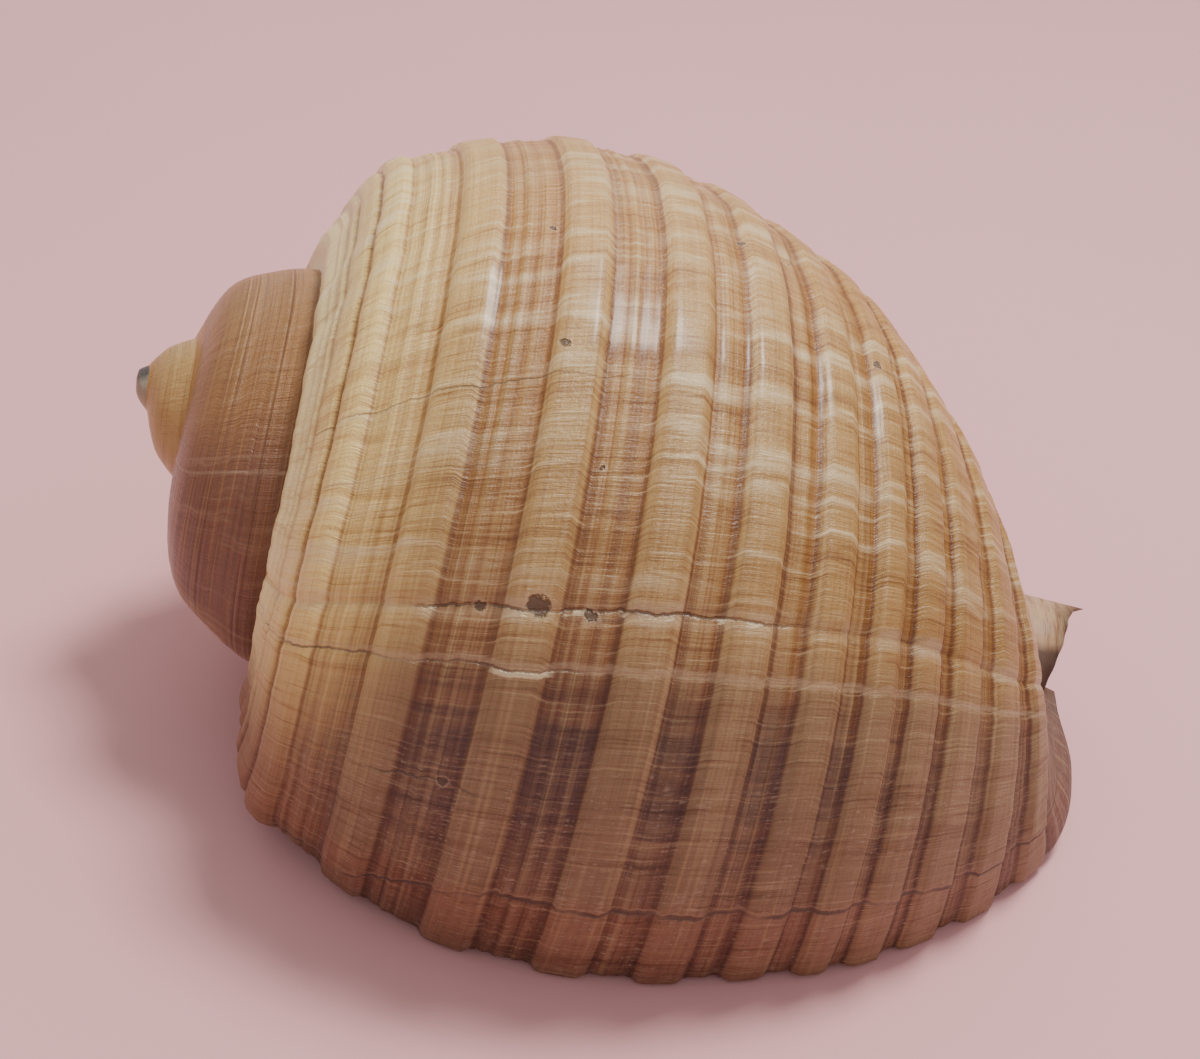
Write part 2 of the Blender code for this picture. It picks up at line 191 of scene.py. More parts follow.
def relief(across, age):
    """Height in mm over the smooth whorl, for a whorl of the last size."""
    degrees = 360.0 * age
    grown = smooth((age + 1.05) / 0.45)
    depth = RIB_DEPTH + smooth((across - 5.0) / 9.0)
    height = depth * (crowns(across, degrees) - 1.0) + 0.6 * threads(across)
    height = np.minimum(height, 0.0) * grown
    height += 0.10 * wave(degrees, 1.7, 1500.0) * (0.4 + 0.6 * grown)
    height += 0.16 * wave(degrees, 6.0, 2500.0) * grown
    # The growth since the last pause lies a step lower, the two other pauses are
    # dents, and the lip's outer corner is worn.
    late = smooth((degrees - last_break(across)) / 1.3 + 0.5)
    height = height * (1.0 - 0.15 * late) - 0.50 * late
    height -= 0.30 * math.exp(-((degrees - BREAKS[1]) / 0.7) ** 2)
    height -= 0.35 * math.exp(-((degrees - BREAKS[2]) / 0.7) ** 2)
    height -= 0.40 * smooth(1.0 - (LAST_AGE - age) / WORN_BACK)
    height = np.minimum(height - 0.30, -0.15)
    # Nothing is more than 1 mm deep at the base, where the wall is thin.
    height = np.maximum(height, -9.0 + 8.0 * smooth((across - 160.0) / 16.0))
    # The lip flares at the base and bulges beside the suture, the older whorl
    # swells, and a cord runs beside the suture.
    flare = smooth((degrees + 14.4) / 14.4) * smooth((across - 165.0) / 22.0)
    flare = flare * smooth((206.0 - across) / 14.0)
    bulge = smooth((degrees + 28.8) / 28.8) * smooth((32.0 - across) / 12.0)
    swell = smooth((age + 1.32) / 0.25) * smooth((-0.72 - age) / 0.25)
    swell = swell * smooth(across / 8.0) * smooth((64.0 - across) / 14.0)
    cord = np.exp(-((across - 4.0) / 2.8) ** 2) * grown
    return height + 1.7 * flare + 1.4 * bulge + 2.9 * swell + 1.7 * cord


def outer_skin(marks, age, seam_point):
    across = np.array(marks)
    points = whorl(across, age)
    ease = np.ones_like(across)
    if seam_point is not None:
        reach = np.clip(1.0 - across / 22.0, 0.0, 1.0) ** 2
        points = points + (np.array(seam_point) - points[0]) * reach[:, None]
        ease = smooth(across / 4.0)
    lift = 0.001 * size_at(age) * relief(across, age) * ease
    return points + outward(across, age) * lift[:, None]


# The inner sides: distance from the apex (mm), radius (mm), lead (degrees).
columella = ((168.0, 11.0, 0.0), (160.0, 10.2, 2.0), (150.0, 9.6, 4.5), (140.0, 9.2, 7.0),
             (131.0, 8.6, 9.5), (121.0, 7.9, 12.0), (112.0, 7.2, 14.0))
umbilicus = ((160.0, 4.0, 1.0), (150.0, 3.6, 3.0), (139.0, 3.3, 6.0), (128.0, 3.1, 9.0),
             (118.0, 2.9, 12.0))


def axis_points(table, age):
    along, radius, lead = np.array(table).T
    return place(along, radius, np.radians(lead), age)


def inner_skin(marks, age):
    across = np.array(marks)
    thin = np.clip(1.0 + age / 0.08, 0.0, 1.0)
    wall = WALL + (LIP_WALL - WALL) * thin - 0.25 * np.minimum(relief(across, -0.3), 0.0)
    wall = wall + (BASE_WALL - wall) * smooth((across - 168.0) / 12.0)
    wall = wall + 0.8 * smooth((18.0 - across) / 10.0)
    points = place(*outline_at(across), age)
    points = points - 0.001 * size_at(age) * outward(across, age) * wall[:, None]
    return np.concatenate([points, axis_points(columella, age)])


# Growth lines are 1.5 degrees apart, with more of them where growth paused and
# at the lip, whose outer corner is worn down.
fine = LAST_AGE + np.arange(-round(PERIOD * ROWS), 0) / ROWS
extra = [(turn + nudge) / 360.0 for turn in BREAKS for nudge in (-0.25, 0.0, 0.25)]
extra += [LAST_AGE - WORN_BACK]
fine = fine[[min(abs(360.0 * step - turn) for turn in BREAKS) > 0.55 for step in fine]]
pattern = np.sort(np.concatenate([fine, extra]))
cycle = len(pattern)
ages = np.concatenate([pattern - PERIOD * k for k in (3, 2, 1, 0)] + [[LAST_AGE]])
ages = ages[ages > FIRST_AGE]
lip = len(ages) - 1
hollow = int(np.searchsorted(ages, HOLLOW_AGE))
covered = hollow - cycle
exposed = lip - cycle
# From these ages on, a row has a corner at every 6th, every 2nd or every mark.
growths = {int(np.searchsorted(ages, -2.6)): 6, int(np.searchsorted(ages, -2.05)): 2,
           int(np.searchsorted(ages, -1.9)): 1}

# Places across the lip (mm) where the wall has a row of corners.
spire = list(np.concatenate([[0.0, 1.0, 2.2], np.arange(3.4, SUTURE_MARK - 0.5, 1.05),
                             [SUTURE_MARK]]))
lower = list(np.concatenate([np.arange(SUTURE_MARK + WALL_FOOT, 200.0, 1.07), [201.2, 203.4]]))
body_marks = spire + lower + [LENGTH]
parietal_marks = spire + lower[:1] + lower[6:-4:11] + lower[-2:] + [LENGTH]
lumen = body_marks[6:-2:3] + body_marks[-2:-1]


def thinned(step):
    return spire[:1] + spire[2:-2:step] + spire[-1:]


bm = bmesh.new()
growth_map = bm.loops.layers.uv.new("growth")
rib_map = bm.loops.layers.uv.new("ribs")


def edges_of(chain):
    return [bm.edges.get(pair) for pair in zip(chain, chain[1:])]


def start_chain(first, points, last=None):
    chain = [first] + [bm.verts.new(point) for point in points]
    if last is not None:
        chain.append(last)
    for pair in zip(chain, chain[1:]):
        bm.edges.new(pair)
    return chain


def chart(older, newer, marks, ages_of, material):
    """Note on the new faces where they are across the lip, how old, and on which rib."""
    across = np.array(marks)
    # The umbilicus, past the end of the outline, is coloured much like a rib.
    crown = np.where(across > LENGTH, 0.7, crowns(across, 0.0))
    thread = threads(across)
    for k, pair in enumerate(zip(newer, newer[1:])):
        edge = bm.edges.get(pair)
        for face in edge.link_faces:
            if older[k] in face.verts or older[k + 1] in face.verts:
                face.material_index = material
                for loop in face.loops:
                    late = loop.vert in pair
                    at = k if loop.vert in (newer[k], older[k]) else k + 1
                    loop[growth_map].uv = (marks[at] * 0.01, ages_of[late])
                    loop[rib_map].uv = (crown[at], thread[at])


def grow(front, points, joined):
    grown = bmesh.ops.extrude_edge_only(bm, edges=edges_of(front))["geom"]
    fresh = {item for item in grown if isinstance(item, bmesh.types.BMVert)}
    row = []
    for vert in front:
        others = [edge.other_vert(vert) for edge in vert.link_edges]
        row.append(next(other for other in others if other in fresh))
    for vert, point in zip(row, points):
        vert.co = point
    bmesh.ops.weld_verts(bm, targetmap={row[k]: vert for k, vert in joined.items()})
    for k, vert in joined.items():
        row[k] = vert
    return row


def widen(front, old_marks, new_marks, points):
    row = [front[0]]
    for k in range(len(front) - 1):
        end = front[k + 1]
        count = sum(old_marks[k] < mark < old_marks[k + 1] for mark in new_marks)
        for _ in range(count):
            edge = bm.edges.get((row[-1], end))
            row.append(bmesh.utils.edge_split(edge, row[-1], 0.5)[1])
        row.append(end)
    for vert, point in list(zip(row, points))[1:]:
        vert.co = point
    return row


def remove_buried(older, newer, k, m):
    corners = {older[k], older[m], newer[k], newer[m]}
    faces = [face for face in older[k].link_faces if set(face.verts) == corners]
    bmesh.ops.delete(bm, geom=faces, context="FACES")


marks = thinned(12)
start = place(*outline_at(np.zeros(1)), ages[0])[0] * (1.0, 0.0, 0.0)
pole = bm.verts.new(start)
rows = [start_chain(pole, outer_skin(marks, ages[0], None)[1:])]
seams = [len(marks) - 1]
umbilical = inner = None
for step in range(1, lip + 1):
    age = ages[step]
    older = rows[step - cycle] if step - cycle >= 0 else None
    seam = seams[step - cycle] if older else 0
    seam_vert = older[seam] if older else pole
    seam_point = seam_vert.co.copy() if older else None
    points = outer_skin(marks, age, seam_point)
    front = rows[-1]
    joined = {0: seam_vert}
    if umbilical:
        points = np.concatenate([points, axis_points(umbilicus, age), points[:1]])
        front = front + umbilical[1:]
        joined[len(points) - 1] = older[-1]
    row = grow(front, points, joined)
    across = list(marks) + [LENGTH + 4.0 * k for k in range(1, len(row) - len(marks) + 1)]
    chart(front, row, across, (ages[step - 1], age), 0)
    if umbilical:
        umbilical = row[len(marks) - 1:]
        row = row[:len(marks)]
        within = inner_skin(lumen, age)
        within = np.concatenate([within[:1], within, within[:1]])
        deeper = inner
        inner = grow(inner, within, {0: older[seam + 1], len(within) - 1: older[-2]})
        inner_marks = [0.0] + lumen + [LENGTH + 4.0 * k for k in range(len(columella) + 1)]
        chart(deeper, inner, inner_marks, (ages[step - 1], age), 1)
        before = rows[step - 1 - cycle]
        remove_buried(before, older, seam, seam + 1)
        remove_buried(before, older, -2, -1)
    if step in growths:
        fuller = thinned(growths[step]) if growths[step] > 1 else spire
        row = widen(row, marks, fuller, outer_skin(fuller, age, seam_point))
        marks = fuller
    if step == covered:
        points = outer_skin(parietal_marks, age, seam_point)[len(spire):]
        row = row + start_chain(row[-1], points)[1:]
        marks = parietal_marks
    if step == exposed:
        row = widen(row, marks, body_marks, outer_skin(body_marks, age, seam_point))
        marks = body_marks
    if step == hollow:
        umbilical = start_chain(row[-1], axis_points(umbilicus, age), older[-1])
        inner = start_chain(older[seam + 1], inner_skin(lumen, age), older[-2])
        hollow_end = inner + older[seam + 2:-2][::-1]
        umbilicus_end = umbilical + [rows[k][-1] for k in range(covered + 1, hollow)]
    rows.append(row)
    seams.append(len(spire) - 1 if step >= covered else len(marks) - 1)

# The lip's edge, from the outside to the inside.
edge_marks = [0.0] + lumen + [LENGTH + k for k in range(len(columella) + 1)]
every_mark = [0.0] + body_marks[1:] + [LENGTH + k for k in range(1, len(columella) + 1)]
within = inner_skin(body_marks[1:-1], LAST_AGE)
inner = widen(inner, edge_marks, every_mark, np.concatenate([within[:1], within]))
outer = rows[-1] + umbilical[1:]
edge_faces = bmesh.ops.bridge_loops(bm, edges=edges_of(outer) + edges_of(inner[:-1]))["faces"]
edge_faces += bmesh.ops.contextual_create(bm, geom=[outer[-1], inner[-2], inner[-1]])["faces"]
for face in edge_faces:
    face.material_index = 1
    for loop in face.loops:
        loop[growth_map].uv = (3.0, 0.0)
        loop[rib_map].uv = (0.0, 0.0)

# The far ends, out of sight: the apex, the hollow's end and the umbilicus.
bmesh.ops.contextual_create(bm, geom=edges_of(rows[0] + rows[0][:1]))
top = (umbilicus_end[len(umbilical) // 2].co.x, 0.0, 0.0)
grown = bmesh.ops.extrude_edge_only(bm, edges=edges_of(umbilicus_end + umbilicus_end[:1]))["geom"]
bmesh.ops.pointmerge(bm, verts=[item for item in grown if isinstance(item, bmesh.types.BMVert)],
                     merge_co=Vector(top))
bmesh.ops.triangle_fill(bm, edges=edges_of(hollow_end + hollow_end[:1]))
bmesh.ops.recalc_face_normals(bm, faces=bm.faces)


def make_object(name, mesh_tool):
    mesh = bpy.data.meshes.new(name)
    mesh_tool.to_mesh(mesh)
    mesh_tool.free()
    item = bpy.data.objects.new(name, mesh)
    bpy.context.scene.collection.objects.link(item)
    return item


wall = make_object("tun_shell", bm)

# The columella.
# The pillar that the whorls wind about is of the same lime. The siphonal canal
# is a groove in its free end, and what is left of the end shows as a beak.
PILLAR_SLOPE = 0.065       # radius for each length from the apex


def turned(profile, steps):
    """A line of points (along the coil axis, radius) turned about that axis."""
    tool = bmesh.new()
    chain = [tool.verts.new((x, 0.0, radius)) for x, radius in profile]
    for pair in zip(chain, chain[1:]):
        tool.edges.new(pair)
    bmesh.ops.spin(tool, geom=tool.verts[:] + tool.edges[:], cent=(0, 0, 0), axis=(1, 0, 0),
                   angle=2.0 * math.pi, steps=steps, use_merge=True)
    bmesh.ops.remove_doubles(tool, verts=tool.verts, dist=0.000001)
    return tool


along = np.append(np.linspace(0.030, 0.170, 22), 0.178)
sides = [(x, PILLAR_SLOPE * x) for x in along]
bm = turned([(along[0], 0.0), *sides, (0.160, 0.0)], 72)
# The beak's edge: degrees about the axis, metres from the apex.
edge_turns = (-180, -151, -128, -105, -59, 0, 60, 100, 150, 180)
edge_along = (0.1782, 0.1795, 0.1756, 0.1738, 0.1724, 0.1718, 0.1743, 0.1762, 0.1772, 0.1782)
for vert in bm.verts:
    if vert.co.x > 0.171:
        turn = math.degrees(math.atan2(vert.co.z, vert.co.y))
        vert.co.x = np.interp(turn, edge_turns, edge_along) + 0.0001 * math.sin(0.3 * turn)
bmesh.ops.recalc_face_normals(bm, faces=bm.faces)
for face in bm.faces:
    face.material_index = 2
pillar = make_object("pillar", bm)

# The canal's cutter breaks through the pillar on one side.
canal_along = (0.132, 0.150, 0.165, 0.173, 0.180, 0.196)
canal_radii = (0.0006, 0.0046, 0.0083, 0.0102, 0.0115, 0.0140)
sides = zip(canal_along, canal_radii)
bm = turned([(canal_along[0], 0.0), *sides, (canal_along[-1], 0.0)], 60)
open_side = math.radians(28.0)
side = Vector((0.0, math.cos(open_side), math.sin(open_side)))
for vert in bm.verts:
    radius = np.interp(vert.co.x, canal_along, canal_radii)
    vert.co += side * (PILLAR_SLOPE * vert.co.x - radius + 0.0008)
bmesh.ops.recalc_face_normals(bm, faces=bm.faces)
for face in bm.faces:
    face.material_index = 2
canal = make_object("canal", bm)

outside = bpy.data.materials.new("shell_outside")
inside = bpy.data.materials.new("shell_inside")
core = bpy.data.materials.new("shell_columella")
for item in (wall, pillar, canal):
    for material in (outside, inside, core):
        item.data.materials.append(material)


def combine(target, cutter, operation):
    modifier = target.modifiers.new(operation.lower(), "BOOLEAN")
    modifier.operation = operation
    modifier.solver = "EXACT"
    modifier.object = cutter
    bpy.context.view_layer.objects.active = target
    bpy.ops.object.modifier_apply(modifier=modifier.name)
    bpy.data.objects.remove(cutter, do_unlink=True)


combine(pillar, canal, "DIFFERENCE")
combine(wall, pillar, "UNION")

# How it lies: on its outer lip and the belly of the body whorl.
roll = Matrix.Rotation(math.radians(-155.05), 4, "X")
dip = Matrix.Rotation(math.radians(13.08), 4, "Y")
shift = Matrix.Translation((-0.0908494, 0.0112644, 0.0586099))
wall.data.transform(shift @ dip @ roll)
wall.data.shade_smooth()
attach(wall, "root")
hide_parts("shell")

# The outside's look.
# Worn lime, tan on the ribs and darker in the grooves, crossed by growth lines.
# It turns purple-brown over the last growth before the lip.


def wire(tree, kind, *values, **settings):
    """Add a shader node with its options, and feed its inputs in order."""
    made = tree.nodes.new("ShaderNode" + kind)
    for name, value in settings.items():
        setattr(made, name, value)
    for socket, value in zip(made.inputs, values):
        if isinstance(value, bpy.types.NodeSocket):
            tree.links.new(value, socket)
        elif value is not None:
            socket.default_value = value
    return made.outputs[0]


def math_of(tree, operation, *values):
    return wire(tree, "Math", *values, operation=operation)


def times(tree, *values):
    return math_of(tree, "MULTIPLY", *values)


def distance(tree, value, mark):
    return math_of(tree, "ABSOLUTE", math_of(tree, "SUBTRACT", value, mark))


def sway(tree, noise, amount):
    """Noise made to swing about nought."""
    return times(tree, math_of(tree, "SUBTRACT", noise, 0.5), amount)


def ramp_up(tree, value, low, high, top=1.0):
    return wire(tree, "MapRange", value, low, high, 0.0, top, interpolation_type="SMOOTHSTEP")


def between(tree, value, low, high, before, past):
    """1 from low to high, fading out over the distances before and past them."""
    return times(tree, ramp_up(tree, value, low - before, low),
                 ramp_up(tree, value, high + past, high))


def layer(tree, factor, under, over, blend="MIX"):
    made = tree.nodes.new("ShaderNodeMix")
    made.data_type = "RGBA"
    made.blend_type = blend
    for k, value in ((0, factor), (6, under), (7, over)):
        socket = made.inputs[k]
        if isinstance(value, bpy.types.NodeSocket):
            tree.links.new(value, socket)
        else:
            socket.default_value = value
    return made.outputs[2]


def grain(tree, vector, scales, offset, detail=3.0, roughness=0.6, warp=0.0):
    """Noise over the growth coordinates: scales are features for each mm, across and along."""
    moved = tree.nodes.new("ShaderNodeMapping")
    moved.inputs["Scale"].default_value = (scales[0], scales[1], 1.0)
    moved.inputs["Location"].default_value = (offset, -0.7 * offset, offset)
    tree.links.new(vector, moved.inputs["Vector"])
    made = tree.nodes.new("ShaderNodeTexNoise")
    made.inputs["Scale"].default_value = 1.0
    made.inputs["Detail"].default_value = detail
    made.inputs["Roughness"].default_value = roughness
    made.inputs["Distortion"].default_value = warp
    tree.links.new(moved.outputs["Vector"], made.inputs["Vector"])
    return made.outputs[0]


def paints(tree, value, low, high, stops):
    """A colour ramp over a range of values."""
    made = tree.nodes.new("ShaderNodeValToRGB")
    elements = made.color_ramp.elements
    elements[0].position = (stops[0][0] - low) / (high - low)
    elements[0].color = (*stops[0][1], 1.0)
    elements[1].position = (stops[-1][0] - low) / (high - low)
    elements[1].color = (*stops[-1][1], 1.0)
    for at, colour in stops[1:-1]:
        elements.new((at - low) / (high - low)).color = (*colour, 1.0)
    tree.links.new(wire(tree, "MapRange", value, low, high, 0.0, 1.0), made.inputs[0])
    return made.outputs[0]


def dress(tree, colour, roughness, normal=None):
    surface = tree.nodes["Principled BSDF"]
    for name, value in (("Base Color", colour), ("Roughness", roughness), ("Normal", normal)):
        if value is not None:
            tree.links.new(value, surface.inputs[name])
    return surface


# Growth coordinates, shared by the shell's materials.
growth = bpy.data.node_groups.new("growth_coordinates", "ShaderNodeTree")
for name, kind in (("Across", "NodeSocketFloat"), ("Degrees", "NodeSocketFloat"),
                   ("Place", "NodeSocketVector"), ("Lines", "NodeSocketFloat"),
                   ("Bands", "NodeSocketFloat"), ("Patches", "NodeSocketFloat"),
                   ("Rib", "NodeSocketFloat"), ("Thread", "NodeSocketFloat")):
    growth.interface.new_socket(name, in_out="OUTPUT", socket_type=kind)
found = growth.nodes.new("ShaderNodeUVMap")
found.uv_map = "ribs"
raised = growth.nodes.new("ShaderNodeSeparateXYZ")
growth.links.new(found.outputs[0], raised.inputs[0])
found = growth.nodes.new("ShaderNodeUVMap")
found.uv_map = "growth"
split = growth.nodes.new("ShaderNodeSeparateXYZ")
growth.links.new(found.outputs[0], split.inputs[0])
across = times(growth, split.outputs[0], 100.0)
degrees = times(growth, split.outputs[1], 360.0)
arc = math_of(growth, "MULTIPLY_ADD", degrees, 1.25, times(growth, raised.outputs[0], 1.3))
spot = wire(growth, "CombineXYZ", across, arc, 0.0)
ends = growth.nodes.new("NodeGroupOutput")
for socket, value in zip(ends.inputs, (
        across, degrees, spot,
        grain(growth, spot, (0.05, 1.5), 3.1, 5.0, 0.72),
        grain(growth, spot, (0.030, 0.26), 7.7, 4.0, 0.62, 0.5),
        grain(growth, spot, (0.05, 0.035), 15.3, 4.0, 0.6),
        raised.outputs[0], raised.outputs[1])):
    growth.links.new(value, socket)


def growth_node(tree):
    made = tree.nodes.new("ShaderNodeGroup")
    made.node_tree = growth
    return {socket.name: socket for socket in made.outputs}


outside.use_nodes = True
tree = outside.node_tree
at = growth_node(tree)
across, degrees, spot = at["Across"], at["Degrees"], at["Place"]
uneven = sway(tree, at["Patches"], 0.6)
rib_height = math_of(tree, "ADD", at["Rib"], uneven)
rib = ramp_up(tree, rib_height, 0.05, 0.55)
raised = math_of(tree, "MAXIMUM", rib, ramp_up(tree, at["Thread"], 0.15, 0.70, 0.80))

# Colours of the ribs and of the grooves over the last whorl, by degrees of growth.
rib_colour = paints(tree, degrees, -360.0, 10.0, (
    (-350.0, (0.36, 0.205, 0.095)), (-140.0, (0.56, 0.345, 0.155)), (-100.0, (0.50, 0.305, 0.135)),
    (-80.0, (0.43, 0.275, 0.128)), (-56.0, (0.37, 0.235, 0.110)), (-49.0, (0.39, 0.255, 0.130)),
    (-42.0, (0.245, 0.155, 0.086)), (-30.0, (0.215, 0.138, 0.080)), (-14.0, (0.190, 0.118, 0.070)),
    (-9.0, (0.215, 0.112, 0.072)), (3.0, (0.19, 0.098, 0.064))))
groove_colour = paints(tree, degrees, -360.0, 10.0, (
    (-350.0, (0.25, 0.120, 0.050)), (-140.0, (0.43, 0.225, 0.092)), (-100.0, (0.38, 0.195, 0.082)),
    (-80.0, (0.33, 0.172, 0.074)), (-56.0, (0.27, 0.140, 0.062)), (-46.0, (0.225, 0.112, 0.056)),
    (-40.0, (0.170, 0.078, 0.044)), (-34.0, (0.145, 0.068, 0.044)), (-14.0, (0.135, 0.066, 0.044)),
    (-9.0, (0.145, 0.062, 0.040)), (3.0, (0.115, 0.052, 0.036))))
colour = layer(tree, raised, groove_colour, rib_colour)

# Dark stretches in the grooves of the late growth. Towards the canal the shell is
# deeper in colour, and its late ribs are khaki.
hollows = between(tree, degrees, -34.0, -26.0, 11.0, 14.0)
hollows = times(tree, hollows, ramp_up(tree, rib_height, 0.40, 0.02, 0.75))
hollows = times(tree, hollows, ramp_up(tree, at["Bands"], 0.62, 0.44))
hollows = times(tree, hollows, math_of(tree, "MULTIPLY_ADD", at["Thread"], -0.4, 1.0))
hollows = times(tree, hollows, ramp_up(tree, across, 190.0, 90.0))
colour = layer(tree, hollows, colour, (0.056, 0.028, 0.026, 1.0))
deeper = times(tree, ramp_up(tree, across, 60.0, 140.0, 0.75),
               ramp_up(tree, degrees, -36.0, -50.0))
colour = layer(tree, deeper, colour, (0.84, 0.74, 0.62, 1.0), "MULTIPLY")
khaki = times(tree, ramp_up(tree, across, 95.0, 135.0, 0.6),
              ramp_up(tree, degrees, -44.0, -36.0))
colour = layer(tree, times(tree, khaki, rib), colour, (0.25, 0.160, 0.092, 1.0))

# Yellow ribs on the shoulder, which are brown on the late growth.
fades = ramp_up(tree, degrees, -14.0, -50.0)
shifted = math_of(tree, "ADD", across, times(tree, uneven, 16.0))
yellow = times(tree, ramp_up(tree, shifted, 48.0, 26.0, 0.92), fades)
yellow = times(tree, yellow, math_of(tree, "MULTIPLY_ADD", raised, 0.3, 0.7))
colour = layer(tree, yellow, colour, (0.83, 0.62, 0.29, 1.0))
cords = times(tree, ramp_up(tree, across, 42.0, 24.0, 0.45),
              math_of(tree, "SUBTRACT", 1.0, fades))
colour = layer(tree, cords, colour, (0.30, 0.150, 0.085, 1.0))

# Fine spiral threads, orange and brown, between and on the ribs, and at their feet.
thread = grain(tree, spot, (1.15, 0.010), 21.0, 2.0, 0.55)
strength = times(tree, math_of(tree, "MULTIPLY_ADD", yellow, -0.15, 1.0),
                 math_of(tree, "MULTIPLY_ADD", rib, -0.5, 1.0))
stain = times(tree, ramp_up(tree, thread, 0.50, 0.62, 0.34), strength)
colour = layer(tree, stain, colour, (0.34, 0.140, 0.055, 1.0), "MULTIPLY")
fine_thread = grain(tree, spot, (2.3, 0.016), 25.0, 2.0, 0.5)
stain = times(tree, ramp_up(tree, fine_thread, 0.50, 0.64, 0.32), strength)
colour = layer(tree, stain, colour, (0.38, 0.190, 0.090, 1.0), "MULTIPLY")
pale_thread = grain(tree, spot, (0.8, 0.012), 33.0, 2.0, 0.5)
colour = layer(tree, ramp_up(tree, pale_thread, 0.54, 0.68, 0.14), colour,
               (0.66, 0.48, 0.28, 1.0))
foot = times(tree, ramp_up(tree, at["Rib"], 0.02, 0.14),
             ramp_up(tree, at["Rib"], 0.46, 0.22, 0.55))
colour = layer(tree, foot, colour, (0.30, 0.125, 0.050, 1.0), "MULTIPLY")

# Cream beside the suture.
cream = times(tree, ramp_up(tree, shifted, 20.0, 6.0, 0.88), fades)
colour = layer(tree, cream, colour, (0.94, 0.78, 0.43, 1.0))

# Growth lines: fine dark and pale ones, and broad pale bands over the ribs.
# Around 27 mm across, the pale bands are brightened further as a painted highlight on the knobs.
gentle = math_of(tree, "MULTIPLY_ADD", cream, -0.5, 1.0)
gentle = times(tree, gentle, ramp_up(tree, at["Bands"], 0.66, 0.40))
dark_growth = times(tree, ramp_up(tree, at["Lines"], 0.52, 0.64, 0.55), gentle)
colour = layer(tree, dark_growth, colour, (0.36, 0.185, 0.100, 1.0), "MULTIPLY")
faint = math_of(tree, "MULTIPLY_ADD", ramp_up(tree, degrees, -50.0, -36.0), -0.45, 1.0)
pale_growth = times(tree, ramp_up(tree, at["Lines"], 0.46, 0.34, 0.30), faint)
colour = layer(tree, pale_growth, colour, (0.68, 0.53, 0.32, 1.0))
early = ramp_up(tree, degrees, -42.0, -62.0)
# Painted highlight: the pale bands are strengthened around 27 mm across, where the knobs catch the
# light.
knob_painted_highlight = ramp_up(tree, distance(tree, across, 27.0), 14.0, 5.0, 0.35)
bands = times(tree, ramp_up(tree, at["Bands"], 0.50, 0.70, 0.62), early)
over_ribs = math_of(tree, "MULTIPLY_ADD", raised, 0.55, 0.25)
bands = times(tree, bands, math_of(tree, "ADD", over_ribs, knob_painted_highlight))
colour = layer(tree, bands, colour, (0.74, 0.61, 0.41, 1.0))
colour = layer(tree, ramp_up(tree, at["Bands"], 0.47, 0.32, 0.30), colour,
               (0.42, 0.20, 0.10, 1.0), "MULTIPLY")

# The spire: brown, then yellow-tan, with a worn grey tip.
spire_colour = paints(tree, degrees, -1240.0, -330.0, (
    (-1236.0, (0.040, 0.036, 0.034)), (-1165.0, (0.070, 0.060, 0.053)),
    (-1135.0, (0.40, 0.34, 0.26)), (-1060.0, (0.50, 0.38, 0.21)), (-980.0, (0.52, 0.345, 0.155)),
    (-740.0, (0.50, 0.310, 0.130)), (-560.0, (0.38, 0.210, 0.088)), (-430.0, (0.27, 0.138, 0.062)),
    (-411.0, (0.190, 0.088, 0.048)), (-345.0, (0.130, 0.056, 0.036))))
spire_colour = layer(tree, ramp_up(tree, thread, 0.50, 0.64, 0.45), spire_colour,
                     (0.36, 0.16, 0.07, 1.0), "MULTIPLY")
pale_thread = grain(tree, spot, (0.9, 0.008), 41.0, 2.0, 0.5)
spire_colour = layer(tree, ramp_up(tree, pale_thread, 0.56, 0.70, 0.30), spire_colour,
                     (0.50, 0.29, 0.13, 1.0))
spire_colour = layer(tree, ramp_up(tree, at["Lines"], 0.52, 0.70, 0.40), spire_colour,
                     (0.34, 0.17, 0.10, 1.0), "MULTIPLY")
spire_colour = layer(tree, ramp_up(tree, at["Bands"], 0.54, 0.70, 0.16), spire_colour,
                     (0.50, 0.36, 0.22, 1.0))
for turn, strength in ((-409.5, 0.55), (-414.0, 0.30)):
    line = ramp_up(tree, distance(tree, degrees, turn), 0.8, 0.1, strength)
    spire_colour = layer(tree, times(tree, line, at["Patches"]), spire_colour,
                         (0.55, 0.42, 0.30, 1.0))
orange = ramp_up(tree, distance(tree, across, 2.0), 3.0, 0.8, 0.70)
spire_colour = layer(tree, orange, spire_colour, (0.52, 0.27, 0.085, 1.0))
colour = layer(tree, ramp_up(tree, degrees, -310.0, -372.0), colour, spire_colour)

# A fine whitish mesh over the dark late growth.
late = ramp_up(tree, degrees, -40.0, -26.0)
mesh = times(tree, ramp_up(tree, grain(tree, spot, (0.35, 2.2), 51.0, 4.0, 0.7), 0.50, 0.66),
             ramp_up(tree, grain(tree, spot, (1.4, 0.10), 57.0, 3.0, 0.6), 0.40, 0.62, 0.58))
colour = layer(tree, times(tree, mesh, late), colour, (0.42, 0.31, 0.23, 1.0))

# Growth pauses and cracks: dark lines with pale edges.
wobble = sway(tree, grain(tree, spot, (0.16, 0.01), 61.0, 4.0, 0.65), 2.2)
slant = times(tree, ramp_up(tree, across, 66.0, 22.0), 12.5)
pauses = []
for turn, width, leans in (
        (BREAKS[0], 0.34, slant), (BREAKS[1], 0.13, 0.0), (BREAKS[2], 0.16, 0.0),
        (-77.5, 0.12, 0.0), (-67.0, 0.10, 0.0), (-27.0, 0.11, 0.0)):
    middle = math_of(tree, "ADD", math_of(tree, "ADD", wobble, turn), leans)
    away = math_of(tree, "SUBTRACT", degrees, middle)
    pauses.append((away, width))


def beside(tree, away, low, high, top):
    """A band from one distance to another past a line, faint at both sides."""
    off = distance(tree, away, (low + high) / 2.0)
    return ramp_up(tree, off, (high - low) / 2.0, (high - low) / 5.0, top)


